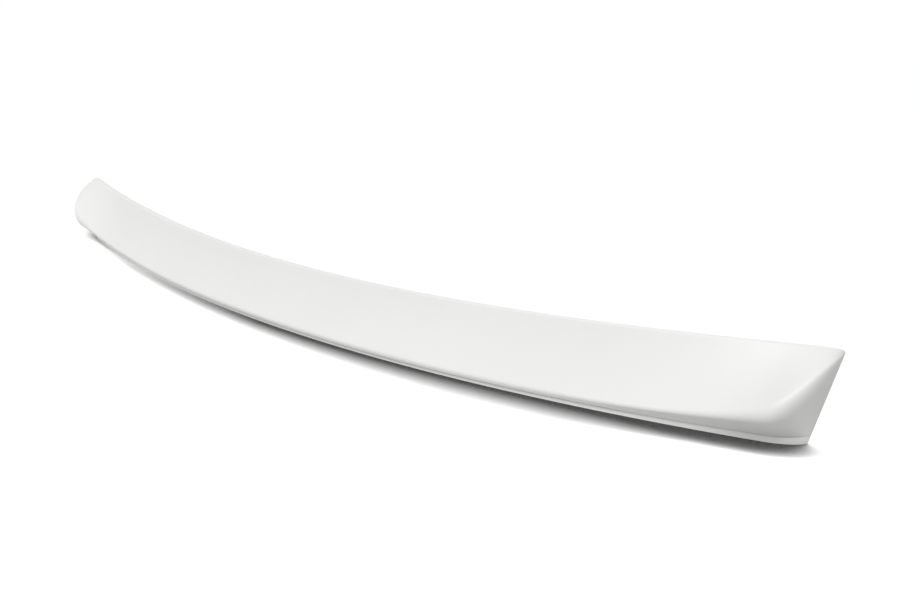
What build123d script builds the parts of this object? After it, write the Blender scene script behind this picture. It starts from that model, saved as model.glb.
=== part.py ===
"""Boot-lid lip spoiler: one hollow moulded shell, bonded to the lid along the rim of its open underside.

Frame: X runs along the spoiler, +Y points to the front of the car, +Z is up.
The origin is on the bonding rim, in the middle of its rear land.
"""
import os
from math import acos, cos, radians, sin, tan

from build123d import *

# Driving dimensions, in millimetres

# Plan
base_length = 1176.0        # over the base, from end to end
plan_bow = 92.0             # the ends sweep this far forward of the middle
end_flare = 17.5            # each top corner stands this far outside the base
corner_length = 34.0        # the rear skin turns in over this length at each end

# Rear face
height_middle = 78.0
height_end = 97.5
face_lean = 22.0            # the top edge stands this far ahead of the base's rear edge
face_hollow = 1.8           # depth of the shallow hollow in the face
face_bulge = 3.0            # at the ends the face bulges by this instead

# Nose, the bend below the face, which swells towards the ends and then climbs to the top corners
nose_rise_middle = 5.0      # height above the plinth
nose_rise_end = 46.0
nose_reach_middle = 1.5     # overhang beyond the plinth's ledge
nose_reach_end = 46.5
nose_bend_middle = 2.5      # the bend reaches this far along both sides
nose_bend_end = 35.0
swell_power = 8.0           # how late along the length the nose swells

# Recessed plinth that stands on the lid
plinth_height_middle = 5.0
plinth_height_end = 10.0
plinth_step = 3.0           # the ledge above the plinth stands out by this much

# Front face and top rim
base_depth_middle = 40.0
base_depth_end = 14.0
rim_middle = 12.0           # thickness of the top edge
rim_end = 11.0
rim_fall = 4.0              # the rim's front edge is this much lower
rim_bend = 2.5
corner_drop = 6.0           # the top corners are rounded down by this much

# Hollow
wall = 3.5
land = 6.0                  # width of the bonding rim
tip = 16.0                  # solid part of the top edge, down the face
trim = 2.0                  # cut off the base to make it flat

# Stations along the half length: the straight run, then the turn of the corner in degrees
run_shares = (0.0, 0.3, 0.52, 0.68, 0.79, 0.87, 0.92)
corner_turns = (0.0, 30.0, 50.0, 66.0, 80.0)

half_length = base_length / 2
corner_start = half_length - corner_length


def blend(middle, end, share):
    """Value between its size in the middle and its size at the ends."""
    return middle + (end - middle) * share


def along(start, target, distance):
    """Point that lies a given distance from start towards target."""
    return start + (target - start).normalized() * distance


def bend(before, corner, after, reach):
    """Start, middle and end of the arc that rounds a corner and reaches equally far along both sides."""
    to_before = (before - corner).normalized()
    to_after = (after - corner).normalized()
    half_angle = acos(to_before.dot(to_after)) / 2
    centre = corner + (to_before + to_after).normalized() * (reach / cos(half_angle))
    middle = along(centre, corner, reach * tan(half_angle))
    return corner + to_before * reach, middle, corner + to_after * reach


class Section:
    """Corner points of the cross-section at one station, as (forward, up) vectors."""

    def __init__(self, station, slimness=1.0):
        share = abs(station) / half_length
        swell = share**swell_power
        self.station = station
        self.slimness = slimness
        self.tilt = end_flare / height_end * share**2 * (1 if station > 0 else -1)

        # Full section
        rear = plan_bow * share**2 - land / 2
        plinth = blend(plinth_height_middle, plinth_height_end, share**3)
        nose_height = plinth + blend(nose_rise_middle, nose_rise_end, swell)
        nose_reach = blend(nose_reach_middle, nose_reach_end, swell)
        nose = Vector(rear - plinth_step - nose_reach, nose_height)
        height = blend(height_middle, height_end, share**2) - corner_drop * (1 - slimness) ** 2
        top = Vector(rear + face_lean, height)
        self.front_base = Vector(rear + blend(base_depth_middle, base_depth_end, share**2), 0)
        self.front_top = top + Vector(blend(rim_middle, rim_end, share**2), -rim_fall)

        # In the corners the rear skin moves on to the front face, and the nose climbs to the top corner
        self.rear_base = self.slim(Vector(rear, 0), self.front_base)
        self.crease = self.slim(Vector(rear, plinth), self.front_at(plinth))
        self.ledge = self.slim(Vector(rear - plinth_step, plinth), self.front_at(plinth))
        self.nose = self.slim(nose, self.front_top)
        self.top = self.slim(top, self.front_top)

        # A curve bows half as far as its control point
        bow = blend(face_hollow, -face_bulge, swell) * slimness
        inwards = (self.top - self.nose).rotate(Axis.Z, -90).normalized()
        self.face = (self.nose + self.top) / 2 + inwards * (2 * bow)
        nose_bend = blend(nose_bend_middle, nose_bend_end, swell**2) * slimness
        self.nose_arc = bend(self.ledge, self.nose, self.face, nose_bend)

    def slim(self, rear, front):
        """Rear point moved towards its front point by the section's slimness."""
        return front + (rear - front) * self.slimness

    def front_at(self, height):
        """Point of the front face at a height."""
        return self.front_base + (self.front_top - self.front_base) * (height / self.front_top.Y)

    def plane(self):
        """Upright plane across the spoiler, leaning outwards with the end's flare."""
        return Plane((self.station, 0, 0), x_dir=(0, 1, 0), z_dir=(1, 0, -self.tilt))

    def draw_outside(self):
        """Closed outline of the outer skin, drawn down past the base."""
        rear_rim = bend(self.face, self.top, self.front_top, rim_bend * self.slimness)
        front_rim = bend(self.top, self.front_top, self.front_base, rim_bend * self.slimness)
        rear_foot = self.rear_base - Vector(0, trim)
        front_foot = self.front_at(-trim)
        Line(front_foot, rear_foot)
        Line(rear_foot, self.crease)
        Line(self.crease, self.ledge)
        Line(self.ledge, self.nose_arc[0])
        ThreePointArc(*self.nose_arc)
        Bezier(self.nose_arc[2], self.face, rear_rim[0])
        ThreePointArc(*rear_rim)
        Line(rear_rim[2], front_rim[0])
        ThreePointArc(*front_rim)
        Line(front_rim[2], front_foot)

    def draw_hollow(self):
        """Closed outline of the space inside, open below."""
        across_wall = Vector(wall, 0)
        across_land = Vector(land, 0)
        below = Vector(0, -2 * trim)
        Polyline(
            self.rear_base + across_land + below,
            self.rear_base + across_land,
            self.crease + across_land,
            along(self.nose_arc[1], self.nose, -wall),
            self.face + across_wall,
            along(self.top, self.face, tip) + across_wall,
            along(self.front_top, self.front_base, tip) - across_wall,
            self.front_base - across_land,
            self.front_base - across_land + below,
            close=True,
        )


def mirrored(half):
    """Sections from the left end to the right end, out of those of the right half."""
    return [(-station, slimness) for station, slimness in reversed(half[1:])] + half


run = [(share * half_length, 1.0) for share in run_shares]
turn = [(corner_start + corner_length * sin(radians(t)), cos(radians(t))) for t in corner_turns]

with BuildPart() as spoiler_shell:
    # Outer skin, through the cross-sections from end to end
    for station, slimness in mirrored(run + turn):
        section = Section(station, slimness)
        with BuildSketch(section.plane()):
            with BuildLine():
                section.draw_outside()
            make_face()
    loft()

    # Space inside, which stops a wall short of the rounded corners
    for station, slimness in mirrored(run + [(corner_start - wall, 1.0)]):
        section = Section(station, slimness)
        with BuildSketch(section.plane()):
            with BuildLine():
                section.draw_hollow()
            make_face()
    loft(mode=Mode.SUBTRACT)

    # Flat bonding rim
    split(bisect_by=Plane.XY, keep=Keep.TOP)

spoiler_shell.part.label = "spoiler_shell"

os.makedirs("parts", exist_ok=True)
export_step(spoiler_shell.part, "parts/spoiler_shell.step")
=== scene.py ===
from math import radians, sin

import bmesh
import bpy
import numpy as np
from mathutils import Matrix, Vector


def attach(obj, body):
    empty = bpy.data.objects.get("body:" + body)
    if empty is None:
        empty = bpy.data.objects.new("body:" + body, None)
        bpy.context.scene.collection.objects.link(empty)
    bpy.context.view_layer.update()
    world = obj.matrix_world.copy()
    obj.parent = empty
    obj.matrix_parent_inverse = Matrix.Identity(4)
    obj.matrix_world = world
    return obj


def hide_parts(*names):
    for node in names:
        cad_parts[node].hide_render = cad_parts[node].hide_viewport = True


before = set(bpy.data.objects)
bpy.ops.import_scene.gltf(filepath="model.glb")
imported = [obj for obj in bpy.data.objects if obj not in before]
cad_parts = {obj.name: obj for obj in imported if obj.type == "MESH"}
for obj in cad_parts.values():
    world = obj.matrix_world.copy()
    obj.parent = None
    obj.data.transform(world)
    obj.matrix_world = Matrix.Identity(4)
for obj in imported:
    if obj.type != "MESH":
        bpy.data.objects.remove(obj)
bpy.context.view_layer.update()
print("frame loaded:", sorted(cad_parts))

mmPerMetre = 1000.0

# Sizes of the shell in millimetres, as in the part's source
shell = {
    "baseLength": 1176.0,
    "planBow": 92.0,        # the ends sweep this far forward
    "endFlare": 17.5,       # the top corners stand this far outside the base
    "cornerLength": 34.0,
    "lastTurn": 80.0,       # degrees; the solid's corner stops here, and the shell closes at the same X
    "heightMiddle": 78.0,
    "heightEnd": 97.5,
    "faceLean": 22.0,
    "faceHollow": 1.8,
    "faceBulge": 3.0,
    "noseRiseMiddle": 5.0,
    "noseRiseEnd": 46.0,
    "noseReachMiddle": 1.5,
    "noseReachEnd": 46.5,
    "noseBendMiddle": 2.5,  # a bend reaches this far along both sides of its corner
    "noseBendEnd": 35.0,
    "swellPower": 8.0,
    "plinthMiddle": 5.0,
    "plinthEnd": 10.0,
    "plinthStep": 3.0,
    "ledgeBend": 1.0,       # broken edge at the foot of the wall
    "creaseBend": 0.4,      # the mould's corner between plinth and ledge is never dead sharp
    "footBend": 0.6,
    "depthMiddle": 40.0,
    "depthEnd": 14.0,
    "rimMiddle": 12.0,
    "rimEnd": 11.0,
    "rimFall": 4.0,
    "rimBend": 2.5,
    "cornerDrop": 6.0,
    "endRound": 2.0,        # the upright edge at each end, towards the front
    "wall": 3.5,
    "land": 6.0,
    "tip": 16.0,
    "insideRound": 3.0,     # corners inside, soft where the mat was pressed in
    "landShare": 0.85,      # a place on the front land, as a share of the base's depth
    "flatShares": (0.8, 0.1),   # beyond the hollow, the base's points lie between these shares
    "endGap": 0.05,         # the hollow's end wall stands in this gap
    "cornerGap": 1.0,       # the last straight section stands this far before the corner
    "closingSlim": 1e-6,    # the ends close on a section this slim
    "mergeDistance": 1e-6,  # m
    "sharpAngle": 35.0,     # degrees
    "runSteps": 100,
    "cornerSteps": 30,
    "profileSteps": {       # points along each part of the cross-section
        "foot": 4, "plinth": 4, "crease": 5, "ledge": 3, "ledgeBend": 8, "wall": 12, "nose": 20, "face": 30,
        "rimBend": 9, "rim": 4, "front": 12, "land": 2, "inside": 8, "insideRound": 6,
    },
}


# The middle's value plus a share of the difference to the end's
def blend(middle, end, share):
    return middle + (end - middle) * share


# Forward and up side by side
def pair(forward, up):
    return np.stack(np.broadcast_arrays(forward, up), -1)


# Vector divided by its length
def unit(v):
    return v / np.linalg.norm(v, axis=-1, keepdims=True)


# Points evenly spaced along a straight line for each station, without its end
def lineRun(start, end, steps):
    k = np.linspace(0, 1, steps, endpoint=False)[None, :, None]
    return start[:, None] + (end - start)[:, None] * k


# Arc that reaches equally far along both sides of a corner: a quadratic curve over its two ends and the corner,
# with the corner weighted by the sine of half its angle, which makes the curve an exact circle
def arcRun(before, corner, after, reach, steps):
    toBefore, toAfter = unit(before - corner), unit(after - corner)
    half = np.arccos(np.clip((toBefore * toAfter).sum(-1, keepdims=True), -1, 1)) / 2
    reach = np.broadcast_to(reach, half.shape[:1])[:, None]
    start, end = (corner + toBefore * reach)[:, None], (corner + toAfter * reach)[:, None]
    k = np.linspace(0, 1, steps)[None, :, None]
    weight = 2 * k * (1 - k) * np.sin(half)[:, None]
    return ((1 - k) ** 2 * start + weight * corner[:, None] + k**2 * end) / ((1 - k) ** 2 + weight + k**2)


# Quadratic curve from start to end, pulled towards a control point, without its end
def curveRun(start, control, end, steps):
    k = np.linspace(0, 1, steps, endpoint=False)[None, :, None]
    return (1 - k) ** 2 * start[:, None] + 2 * k * (1 - k) * control[:, None] + k**2 * end[:, None]


# Closed cross-section of the shell at every station, (stations, points, forward and up).
# Sizes go from middle to end with a power of the share of the half length. In the corners the rear skin moves on to
# the front face by the cosine of the turn, and the nose climbs to the top corner with it.
def shellProfile(station, slim, insideEnd):
    s, steps = shell, shell["profileSteps"]
    share = np.abs(station) / (s["baseLength"] / 2)
    swell = share ** s["swellPower"]
    endX = np.abs(station).max()
    intoRound = np.clip((np.abs(station) - endX + s["endRound"]) / s["endRound"], 0, 1)
    rear = s["planBow"] * share**2 - s["land"] / 2
    plinth = blend(s["plinthMiddle"], s["plinthEnd"], share**3)
    nose = pair(rear - s["plinthStep"] - blend(s["noseReachMiddle"], s["noseReachEnd"], swell),
                plinth + blend(s["noseRiseMiddle"], s["noseRiseEnd"], swell))
    height = blend(s["heightMiddle"], s["heightEnd"], share**2) - s["cornerDrop"] * (1 - slim) ** 2
    top = pair(rear + s["faceLean"], height)
    pulledIn = pair(s["endRound"] * (np.sqrt(1 - intoRound**2) - 1), 0)
    frontBase = pair(rear + blend(s["depthMiddle"], s["depthEnd"], share**2), 0) + pulledIn
    frontTop = top + pair(blend(s["rimMiddle"], s["rimEnd"], share**2), -s["rimFall"]) + pulledIn

    # Front point plus the slim share of the way back to the rear point
    def slimTo(rearPoint, frontPoint):
        return frontPoint + (rearPoint - frontPoint) * slim[:, None]

    frontPlinth = frontBase + (frontTop - frontBase) * (plinth / frontTop[:, 1])[:, None]
    rearBase = slimTo(pair(rear, 0), frontBase)
    crease = slimTo(pair(rear, plinth), frontPlinth)
    ledge = slimTo(pair(rear - s["plinthStep"], plinth), frontPlinth)
    nose, top = slimTo(nose, frontTop), slimTo(top, frontTop)
    across = unit(top - nose)
    inwards = pair(across[:, 1], -across[:, 0])
    bow = blend(s["faceHollow"], -s["faceBulge"], swell) * slim
    face = (nose + top) / 2 + inwards * (2 * bow)[:, None]

    # Outer skin: rear foot, plinth, crease, ledge, wall, nose, face, rim, front face, front foot, front land
    rearFoot = arcRun(frontBase, rearBase, crease, s["footBend"] * slim, steps["foot"])
    creaseArc = arcRun(rearBase, crease, ledge, s["creaseBend"] * slim, steps["crease"])
    ledgeArc = arcRun(crease, ledge, nose, s["ledgeBend"] * slim, steps["ledgeBend"])
    noseBend = blend(s["noseBendMiddle"], s["noseBendEnd"], swell**2) * slim
    noseArc = arcRun(ledge, nose, face, noseBend, steps["nose"])
    rearRim = arcRun(face, top, frontTop, s["rimBend"] * slim, steps["rimBend"])
    frontRim = arcRun(top, frontTop, frontBase, s["rimBend"] * slim, steps["rimBend"])
    frontFoot = arcRun(frontTop, frontBase, rearBase, s["footBend"] * slim, steps["foot"])
    outside = [
        rearFoot[:, :-1], lineRun(rearFoot[:, -1], creaseArc[:, 0], steps["plinth"]),
        creaseArc[:, :-1], lineRun(creaseArc[:, -1], ledgeArc[:, 0], steps["ledge"]),
        ledgeArc[:, :-1], lineRun(ledgeArc[:, -1], noseArc[:, 0], steps["wall"]),
        noseArc[:, :-1], curveRun(noseArc[:, -1], face, rearRim[:, 0], steps["face"]),
        rearRim[:, :-1], lineRun(rearRim[:, -1], frontRim[:, 0], steps["rim"]),
        frontRim[:, :-1], lineRun(frontRim[:, -1], frontPlinth, steps["front"]),
        lineRun(frontPlinth, frontFoot[:, 0], steps["plinth"]), frontFoot[:, :-1],
        lineRun(frontFoot[:, -1], blend(rearBase, frontBase, s["landShare"]), steps["land"]),
    ]
    outsideCount = sum(run.shape[1] for run in outside)

    # Hollow: front land, front wall, solid tip, face, nose, rear land; beyond its end it lies flat in the base
    acrossWall, acrossLand = np.array([s["wall"], 0]), np.array([s["land"], 0])
    noseMiddle = noseArc[:, steps["nose"] // 2]
    corners = [
        frontBase - acrossLand,
        frontTop + unit(frontBase - frontTop) * s["tip"] - acrossWall,
        top + unit(face - top) * s["tip"] + acrossWall,
        face + acrossWall,
        noseMiddle + unit(noseMiddle - nose) * s["wall"],
        crease + acrossLand,
        rearBase + acrossLand,
    ]
    inside = [corners[0][:, None]]
    for before, corner, after in zip(corners, corners[1:], corners[2:]):
        arc = arcRun(before, corner, after, s["insideRound"], steps["insideRound"])
        inside += [lineRun(inside[-1][:, -1], arc[:, 0], steps["inside"])[:, 1:], arc]
    inside += [lineRun(inside[-1][:, -1], corners[-1], steps["inside"])[:, 1:], corners[-1][:, None]]
    inside = np.concatenate(inside, 1)
    flatStart, flatEnd = (blend(rearBase, frontBase, place) for place in s["flatShares"])
    flat = lineRun(flatStart, flatEnd, inside.shape[1])
    hollowed = (np.abs(station) <= insideEnd)[:, None, None]
    return np.concatenate(outside + [np.where(hollowed, inside, flat)], 1), outsideCount


# Stations of the right half: the sine of an even step on the run, so that they close up towards the corner,
# then the sine of an even turn in the corner. The left half is its mirror image.
def shellStations():
    s = shell
    cornerStart = s["baseLength"] / 2 - s["cornerLength"]
    insideEnd = cornerStart - s["wall"]
    run = insideEnd * np.sin(np.linspace(0, np.pi / 2, s["runSteps"]))
    between = [insideEnd + s["endGap"], cornerStart - s["cornerGap"]]
    turn = np.linspace(0, np.pi / 2, s["cornerSteps"])
    cornerReach = s["cornerLength"] * sin(radians(s["lastTurn"]))
    right = np.concatenate([run, between, cornerStart + cornerReach * np.sin(turn)])
    slim = np.concatenate([np.ones(len(run) + len(between)), np.maximum(np.cos(turn), s["closingSlim"])])
    return np.concatenate([-right[:0:-1], right]), np.concatenate([slim[:0:-1], slim]), insideEnd


# Grid of stations by profile points, closed round the profile; each section leans out with the end's flare
def buildShell():
    station, slim, insideEnd = shellStations()
    profile, outsideCount = shellProfile(station, slim, insideEnd)
    share = np.abs(station) / (shell["baseLength"] / 2)
    tilt = np.sign(station) * shell["endFlare"] / shell["heightEnd"] * share**2
    upright = profile[..., 1] / np.sqrt(1 + tilt**2)[:, None]
    x = station[:, None] + upright * tilt[:, None]
    points = np.stack([x, profile[..., 0], upright], -1) / mmPerMetre
    rows, columns = points.shape[:2]
    i, j = np.meshgrid(np.arange(rows - 1), np.arange(columns), indexing="ij")
    k = (j + 1) % columns
    quads = np.stack([i * columns + j, (i + 1) * columns + j, (i + 1) * columns + k, i * columns + k], -1)
    mesh = bpy.data.meshes.new("spoilerShell")
    mesh.from_pydata(points.reshape(-1, 3), [], quads.reshape(-1, 4))
    mesh.polygons.foreach_set("material_index", (j >= outsideCount).astype(np.int32).ravel())
    closed = bmesh.new()
    closed.from_mesh(mesh)
    bmesh.ops.remove_doubles(closed, verts=closed.verts, dist=shell["mergeDistance"])
    bmesh.ops.recalc_face_normals(closed, faces=closed.faces)
    closed.to_mesh(mesh)
    closed.free()
    mesh.shade_smooth()
    mesh.set_sharp_from_angle(angle=radians(shell["sharpAngle"]))
    loopEdges = np.empty(len(mesh.loops), np.int32)     # on a closed skin each edge is used twice
    mesh.loops.foreach_get("edge_index", loopEdges)
    print("open edges:", np.count_nonzero(np.bincount(loopEdges, minlength=len(mesh.edges)) != 2))
    piece = bpy.data.objects.new("spoilerShell", mesh)
    bpy.context.scene.collection.objects.link(piece)
    return piece


# sRGB hex to linear colour, by the standard's curve
def hexColour(code):
    c = np.array([int(code[n:n + 2], 16) for n in (1, 3, 5)]) / 255
    linear = np.where(c <= 0.04045, c / 12.92, ((c + 0.055) / 1.055) ** 2.4)
    return (*linear.tolist(), 1.0)


# One node with its settings, its socket values and its links
def addNode(tree, kind, values=None, links=None, **settings):
    node = tree.nodes.new(kind)
    for name, value in settings.items():
        setattr(node, name, value)
    for socket, value in (values or {}).items():
        node.inputs[socket].default_value = value
    for socket, source in (links or {}).items():
        tree.links.new(source, node.inputs[socket])
    return node


# Empty material and its node tree
def newMaterial(name):
    material = bpy.data.materials.new(name)
    material.use_nodes = True
    material.node_tree.nodes.clear()
    return material, material.node_tree


# White polyester gelcoat, sprayed into a polished mould and left unpainted: satin, very slightly warm,
# with faint clouds in the pigment and a skin that is never quite flat
gelcoat = {
    "light": "#EFEFED",
    "dark": "#EAEAE7",
    "cloudSize": 140.0,     # mm
    "cloudDetail": 3.0,
    "peelSize": 3.0,        # mm, ripple of the sprayed skin
    "peelDetail": 1.0,
    "peelDepth": 0.01,      # mm
    "peelStrength": 0.6,
    "roughLow": 0.48,
    "roughHigh": 0.6,
    "ior": 1.5,
}


# Clouds set the tone and the gloss, and the finer ripple lifts the skin
def gelcoatMaterial():
    g = gelcoat
    material, tree = newMaterial("whiteGelcoat")
    place = addNode(tree, "ShaderNodeTexCoord").outputs["Object"]
    clouds = addNode(tree, "ShaderNodeTexNoise",
                     {"Scale": mmPerMetre / g["cloudSize"], "Detail": g["cloudDetail"]}, {"Vector": place})
    peel = addNode(tree, "ShaderNodeTexNoise",
                   {"Scale": mmPerMetre / g["peelSize"], "Detail": g["peelDetail"]}, {"Vector": place})
    tone = addNode(tree, "ShaderNodeMix", {"A": hexColour(g["dark"]), "B": hexColour(g["light"])},
                   {"Factor": clouds.outputs["Fac"]}, data_type="RGBA")
    gloss = addNode(tree, "ShaderNodeMapRange", {"To Min": g["roughLow"], "To Max": g["roughHigh"]},
                    {"Value": clouds.outputs["Fac"]})
    skin = addNode(tree, "ShaderNodeBump",
                   {"Strength": g["peelStrength"], "Distance": g["peelDepth"] / mmPerMetre},
                   {"Height": peel.outputs["Fac"]})
    surface = addNode(tree, "ShaderNodeBsdfPrincipled", {"IOR": g["ior"]},
                      {"Base Color": tone.outputs["Result"], "Roughness": gloss.outputs["Result"],
                       "Normal": skin.outputs["Normal"]})
    addNode(tree, "ShaderNodeOutputMaterial", {}, {"Surface": surface.outputs["BSDF"]})
    return material


# Chopped-strand glass mat in polyester resin, rolled on by hand inside the mould: matt, pale straw,
# with loose strands lying in every direction
laminate = {
    "resin": "#C6C3A9",
    "glass": "#E3E1D2",
    "strandLength": 40.0,   # mm
    "strandWidth": 1.6,     # mm, drawn wider than the real bundles so that they show
    "strandDetail": 1.0,
    "strandDepth": 0.25,    # mm
    "strandStrength": 0.8,
    "strandFrom": 0.5,      # height of the noise at which a strand begins
    "strandFull": 0.75,
    "turns": ((0, 0, 15), (0, 20, 75), (15, 0, 135)),   # degrees
    "rough": 0.62,
    "ior": 1.55,
}


# Long noise in three directions: the highest of the three is the strand on top
def laminateMaterial():
    m = laminate
    material, tree = newMaterial("glassMatLaminate")
    place = addNode(tree, "ShaderNodeTexCoord").outputs["Object"]
    size = tuple(mmPerMetre / m[name] for name in ("strandLength", "strandWidth", "strandWidth"))
    strands = None
    for turn in m["turns"]:
        turned = addNode(tree, "ShaderNodeMapping",
                         {"Rotation": tuple(map(radians, turn)), "Scale": size}, {"Vector": place})
        layer = addNode(tree, "ShaderNodeTexNoise", {"Scale": 1.0, "Detail": m["strandDetail"]},
                        {"Vector": turned.outputs["Vector"]})
        height = layer.outputs["Fac"]
        if strands is not None:
            highest = addNode(tree, "ShaderNodeMath", {}, {0: strands, 1: height}, operation="MAXIMUM")
            height = highest.outputs["Value"]
        strands = height
    share = addNode(tree, "ShaderNodeMapRange", {"From Min": m["strandFrom"], "From Max": m["strandFull"]},
                    {"Value": strands})
    tone = addNode(tree, "ShaderNodeMix", {"A": hexColour(m["resin"]), "B": hexColour(m["glass"])},
                   {"Factor": share.outputs["Result"]}, data_type="RGBA")
    relief = addNode(tree, "ShaderNodeBump",
                     {"Strength": m["strandStrength"], "Distance": m["strandDepth"] / mmPerMetre},
                     {"Height": share.outputs["Result"]})
    surface = addNode(tree, "ShaderNodeBsdfPrincipled", {"IOR": m["ior"], "Roughness": m["rough"]},
                      {"Base Color": tone.outputs["Result"], "Normal": relief.outputs["Normal"]})
    addNode(tree, "ShaderNodeOutputMaterial", {}, {"Surface": surface.outputs["BSDF"]})
    return material


spoiler = buildShell()
spoiler.data.materials.append(gelcoatMaterial())
spoiler.data.materials.append(laminateMaterial())
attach(spoiler, "root")
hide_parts("spoiler_shell")
print("shell built:", len(spoiler.data.polygons), "faces")

# Studio: a white paper sweep. One soft sun lights the spoiler from the side that shows, one from behind, and one lights
# the paper alone. The paper's colour holds a painted shadow at the foot, and gives back less light than it shows.
studio = {
    "floorSize": 30.0,      # m
    "floorSeen": 0.95,
    "floorBounce": 0.52,    # for light that comes back from it
    # Painted shadow at the foot: its darkest tone, the side whose openness sets it, and the shares for dark and clear
    "contactTone": 0.04,    # right under the edge
    "contactFrom": (-0.38, 0.91, 0.1),  # the shadow lies where the spoiler shuts off the light from this side
    "contactDark": 0.48,    # share of open space that counts as darkest
    "contactClear": 0.94,   # and as clear
    # Ramps along the spoiler: from one X to another in metres, then the value at each
    "ramps": {
        "widening": (-0.6, 0.25, 0.00444, 0.037),   # reach of the shadow, m
        "narrowing": (0.38, 0.5, 0.037, 0.0259),    # the same, at the right end
        "fading": (-0.6, -0.05, 0.75, 0.0),         # share by which the shadow is lighter
        "edgeBounce": (0.5, 0.58, 0.47, 0.24),      # tone of the light that comes back from under the edge
    },
    "ambient": 0.08,
    "backdrop": 1.0,
    "suns": {               # where each shines from, its strength, and its spread in degrees
        "key": ((0.13, -0.60, 0.79), 2.7, 35.0),
        "back": ((0.0, 0.85, 0.5), 1.2, 40.0),
        "paper": ((0.45, -0.57, 0.69), 4.6, 25.0),
    },
}


# One for rays that show the background itself, nought for light that falls on things
def seenShare(tree):
    path = addNode(tree, "ShaderNodeLightPath")
    seen = path.outputs["Is Camera Ray"]
    for name in ("Is Glossy Ray", "Is Transmission Ray"):
        either = addNode(tree, "ShaderNodeMath", {}, {0: seen, 1: path.outputs[name]}, operation="MAXIMUM")
        seen = either.outputs["Value"]
    return seen


# The same level in red, green and blue
def greyTone(level):
    return (level, level, level, 1.0)


# Flat square. Its tone, a painted shadow, goes from dark to clear with the share of open space towards one side
def buildFloor():
    half = studio["floorSize"] / 2
    mesh = bpy.data.meshes.new("floor")
    mesh.from_pydata([(-half, -half, 0), (half, -half, 0), (half, half, 0), (-half, half, 0)], [], [(0, 1, 2, 3)])
    floor = bpy.data.objects.new("floor", mesh)
    bpy.context.scene.collection.objects.link(floor)
    material, tree = newMaterial("paperSweep")
    towards = addNode(tree, "ShaderNodeCombineXYZ", dict(enumerate(studio["contactFrom"])))
    place = addNode(tree, "ShaderNodeTexCoord").outputs["Object"]
    along = addNode(tree, "ShaderNodeSeparateXYZ", {}, {"Vector": place}).outputs["X"]
    ramps = {}
    for name, ends in studio["ramps"].items():
        values = dict(zip(("From Min", "From Max", "To Min", "To Max"), ends))
        ramps[name] = addNode(tree, "ShaderNodeMapRange", values, {"Value": along}).outputs["Result"]
    reach = addNode(tree, "ShaderNodeMath", {}, {0: ramps["widening"], 1: ramps["narrowing"]}, operation="MINIMUM")
    space = addNode(tree, "ShaderNodeAmbientOcclusion", {},
                    {"Normal": towards.outputs["Vector"], "Distance": reach.outputs["Value"]})
    clear = addNode(tree, "ShaderNodeMapRange",
                    {"From Min": studio["contactDark"], "From Max": studio["contactClear"]},
                    {"Value": space.outputs["AO"], "To Min": ramps["fading"]})
    seen = addNode(tree, "ShaderNodeMix", {"A": greyTone(studio["contactTone"]), "B": greyTone(studio["floorSeen"])},
                   {"Factor": clear.outputs["Result"]}, data_type="RGBA")
    bounce = addNode(tree, "ShaderNodeMix", {"B": greyTone(studio["floorBounce"])},
                     {"Factor": clear.outputs["Result"], "A": ramps["edgeBounce"]}, data_type="RGBA")
    tone = addNode(tree, "ShaderNodeMix", {},
                   {"Factor": seenShare(tree), "A": bounce.outputs["Result"], "B": seen.outputs["Result"]},
                   data_type="RGBA")
    surface = addNode(tree, "ShaderNodeBsdfDiffuse", {}, {"Color": tone.outputs["Result"]})
    addNode(tree, "ShaderNodeOutputMaterial", {}, {"Surface": surface.outputs["BSDF"]})
    mesh.materials.append(material)
    return floor


# Soft sun that lights one object alone
def addSun(name, litObject):
    direction, strength, spread = studio["suns"][name]
    lamp = bpy.data.lights.new(name, "SUN")
    lamp.energy = strength
    lamp.angle = radians(spread)
    lampObject = bpy.data.objects.new(name, lamp)
    lampObject.rotation_mode = "QUATERNION"
    lampObject.rotation_quaternion = Vector(direction).to_track_quat("Z", "Y")
    bpy.context.scene.collection.objects.link(lampObject)
    lit = bpy.data.collections.new(name + "Lit")
    lit.objects.link(litObject)
    lampObject.light_linking.receiver_collection = lit


floor = buildFloor()
addSun("key", spoiler)
addSun("back", spoiler)
addSun("paper", floor)

world = bpy.data.worlds.new("studio")
bpy.context.scene.world = world
world.use_nodes = True
world.node_tree.nodes.clear()
level = addNode(world.node_tree, "ShaderNodeMix", {"A": studio["ambient"], "B": studio["backdrop"]},
                {"Factor": seenShare(world.node_tree)}, data_type="FLOAT")
sky = addNode(world.node_tree, "ShaderNodeBackground", {"Color": greyTone(1.0)}, {"Strength": level.outputs["Result"]})
addNode(world.node_tree, "ShaderNodeOutputWorld", {}, {"Surface": sky.outputs["Background"]})
print("studio lit")

# Camera found from the mirror symmetry of the two ends
view = {
    "position": (0.7920, -0.6704, 0.3965),
    "right": (0.7845, 0.6201, 0.0),
    "up": (-0.2098, 0.2655, 0.9410),
    "forward": (-0.5835, 0.7382, -0.3384),
    "focalPixels": 900.0,
    "imageWidth": 920.0,
    "nearest": 0.01,        # m
    "farthest": 100.0,
}
lens = bpy.data.cameras.new("camera")
lens.sensor_fit = "HORIZONTAL"
lens.lens = lens.sensor_width * view["focalPixels"] / view["imageWidth"]
lens.clip_start, lens.clip_end = view["nearest"], view["farthest"]
camera = bpy.data.objects.new("camera", lens)
axes = Matrix([view["right"], view["up"], [-v for v in view["forward"]]]).transposed()
camera.matrix_world = Matrix.Translation(view["position"]) @ axes.to_4x4()
bpy.context.scene.collection.objects.link(camera)
bpy.context.scene.camera = camera
bpy.context.scene.view_settings.view_transform = "Standard"
print("camera set")
